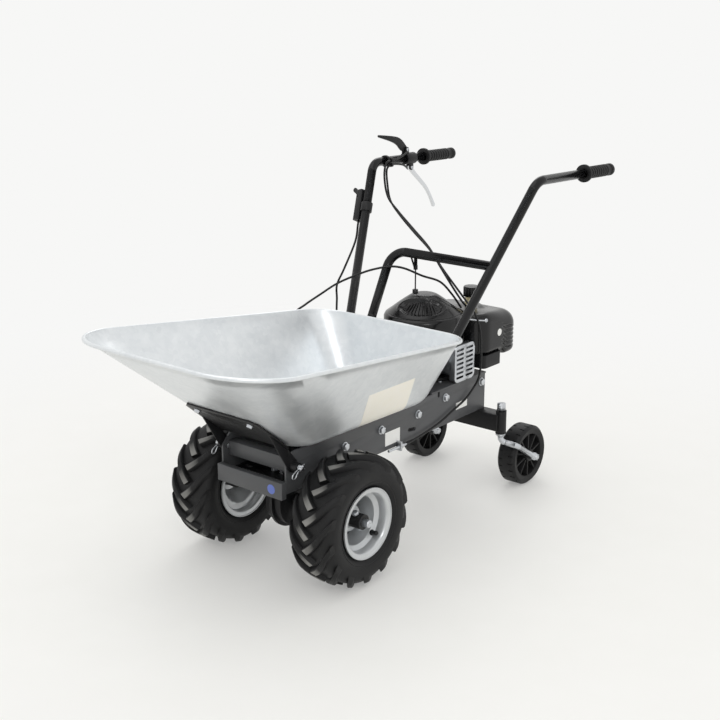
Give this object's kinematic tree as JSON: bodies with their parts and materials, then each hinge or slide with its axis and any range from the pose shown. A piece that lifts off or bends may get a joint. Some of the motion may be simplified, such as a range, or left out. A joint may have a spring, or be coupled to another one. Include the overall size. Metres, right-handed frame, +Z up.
{
  "type": "motor barrow",
  "caption": "Petrol walk-behind motor barrow with a tipping galvanised tray, lugged drive wheels, swivelling rear castors and an engine under its handles.",
  "frame": {"origin": "on the ground, under the middle of the overall length and width", "axes": "+Z up, +Y to the rear where the operator walks, +X to the machine's left as the operator faces forwards"},
  "size_m": [0.6224, 1.5095, 0.9792],
  "materials": {
    "frame_paint": "satin black powder coat",
    "handle_paint": "gloss black paint",
    "galvanised": "bright galvanised sheet with soft mottling",
    "zinc": "bright zinc plate",
    "rim_paint": "light silver paint",
    "tyre": "matte black rubber",
    "grip_rubber": "matte black rubber",
    "belt": "matte black rubber",
    "engine_plastic": "glossy black moulding",
    "black_plastic": "matte black moulding",
    "engine_paint": "dark cast metal",
    "cast_alloy": "as cast",
    "lever_alloy": "polished casting",
    "bronze": "plain bronze",
    "steel": "turned steel",
    "neck": "cream moulding",
    "cord": "woven black rope"
  },
  "bodies": {
    "chassis": {"side_plate_left": "frame_paint", "side_plate_right": "frame_paint", "front_cross_plate": "frame_paint", "front_bar": "frame_paint", "gearbox_plate": "frame_paint", "engine_deck": "frame_paint", "castor_beam": "frame_paint", "bushes": "black_plastic", "chassis_bolts": "zinc", "hinge_pins": "zinc", "r_clips": "zinc", "handle_left": "handle_paint", "handle_right": "handle_paint", "handle_brace": "handle_paint", "grips": "grip_rubber", "lever_perch": "black_plastic", "throttle_box": "black_plastic", "case_left": "frame_paint", "case_right": "frame_paint", "drive_belt": "belt", "engine_crankcase": "engine_paint", "engine_cylinder": "cast_alloy", "muffler": "cast_alloy", "muffler_guard": "zinc", "blower_housing": "engine_plastic", "recoil_cover": "engine_plastic", "fuel_tank": "engine_plastic", "fuel_neck": "neck", "air_cleaner": "black_plastic", "clutch_cable": "black_plastic", "stop_cable": "black_plastic", "throttle_cable": "black_plastic", "cable_stop": "zinc", "starter_rope": "cord"},
    "tray": {"tray_pan": "galvanised", "tray_cradle": "frame_paint", "tray_bolts": "zinc"},
    "drive_wheels": {"axle_shaft": "steel", "worm_wheel": "bronze", "wheel_hubs": "engine_paint", "rim_left": "rim_paint", "rim_right": "rim_paint", "tyre_left": "tyre", "tyre_right": "tyre", "wheel_bolts": "zinc"},
    "worm": {"worm_shaft": "steel", "driven_pulley": "engine_paint"},
    "crank": {"crankshaft": "steel", "drive_pulley": "steel"},
    "idler": {"idler_arm": "zinc"},
    "castor_left": {"castor_fork_left": "zinc"},
    "castor_right": {"castor_fork_right": "zinc"},
    "castor_left_wheel": {"castor_wheel_left": "grip_rubber"},
    "castor_right_wheel": {"castor_wheel_right": "grip_rubber"},
    "clutch": {"clutch_lever": "lever_alloy"},
    "stop": {"stop_lever": "black_plastic"},
    "throttle": {"throttle_lever": "black_plastic"},
    "starter": {"starter_handle": "black_plastic"},
    "cap": {"fuel_cap": "engine_plastic"}
  },
  "joints": [
    {"name": "tray_tip", "type": "hinge", "parent": "chassis", "child": "tray", "pos_m": [0, -0.4085, 0.307], "axis": [1, 0, 0], "range_deg": [0, 55]},
    {"name": "drive_spin", "type": "hinge", "parent": "chassis", "child": "drive_wheels", "pos_m": [0, -0.3085, 0.165], "axis": [1, 0, 0], "continuous": true},
    {"name": "worm_spin", "type": "hinge", "parent": "chassis", "child": "worm", "pos_m": [0.008, -0.2465, 0.29], "axis": [0, 0, 1], "continuous": true},
    {"name": "crank_spin", "type": "hinge", "parent": "chassis", "child": "crank", "pos_m": [-0.02, 0.2815, 0.29], "axis": [0, 0, 1], "continuous": true},
    {"name": "clutch_pull", "type": "hinge", "parent": "chassis", "child": "clutch", "pos_m": [-0.274, 0.5435, 0.87178], "axis": [1, 0, 0], "range_deg": [0, 32], "stiffness_Nm_per_rad": 2, "springref_deg": -17.19},
    {"name": "idler_swing", "type": "hinge", "parent": "chassis", "child": "idler", "pos_m": [0.066, 0.1615, 0.3015], "axis": [0, 0, -1], "range_deg": [0, 8]},
    {"name": "stop_press", "type": "hinge", "parent": "chassis", "child": "stop", "pos_m": [-0.274, 0.5215, 0.92578], "axis": [1, 0, 0], "range_deg": [0, 13], "stiffness_Nm_per_rad": 1, "springref_deg": -17.19},
    {"name": "throttle_turn", "type": "hinge", "parent": "chassis", "child": "throttle", "pos_m": [-0.28098, 0.32505, 0.80736], "axis": [-0.2462, -0.8701, 0.427], "range_deg": [0, 45]},
    {"name": "castor_left_swivel", "type": "hinge", "parent": "chassis", "child": "castor_left", "pos_m": [0.175, 0.3885, 0.21], "axis": [0, 0, 1], "continuous": true},
    {"name": "castor_right_swivel", "type": "hinge", "parent": "chassis", "child": "castor_right", "pos_m": [-0.175, 0.3885, 0.21], "axis": [0, 0, 1], "continuous": true},
    {"name": "castor_left_spin", "type": "hinge", "parent": "castor_left", "child": "castor_left_wheel", "pos_m": [0.175, 0.5025, 0.087], "axis": [1, 0, 0], "continuous": true},
    {"name": "castor_right_spin", "type": "hinge", "parent": "castor_right", "child": "castor_right_wheel", "pos_m": [-0.175, 0.5025, 0.087], "axis": [1, 0, 0], "continuous": true},
    {"name": "starter_pull", "type": "slide", "parent": "chassis", "child": "starter", "axis": [0, 0, 1], "range_m": [0, 0.45], "stiffness_N_per_m": 15, "springref_m": -0.2, "deforming": ["starter_rope"]},
    {"name": "fuel_cap_turn", "type": "hinge", "parent": "chassis", "child": "cap", "pos_m": [0.026, 0.4435, 0.545], "axis": [0, 0, 1], "range_deg": [0, 90]}
  ],
  "couplings": [
    {"joint": "worm_spin", "follows": "drive_spin", "ratio": 25},
    {"joint": "idler_swing", "follows": "clutch_pull", "ratio": 0.25}
  ]
}
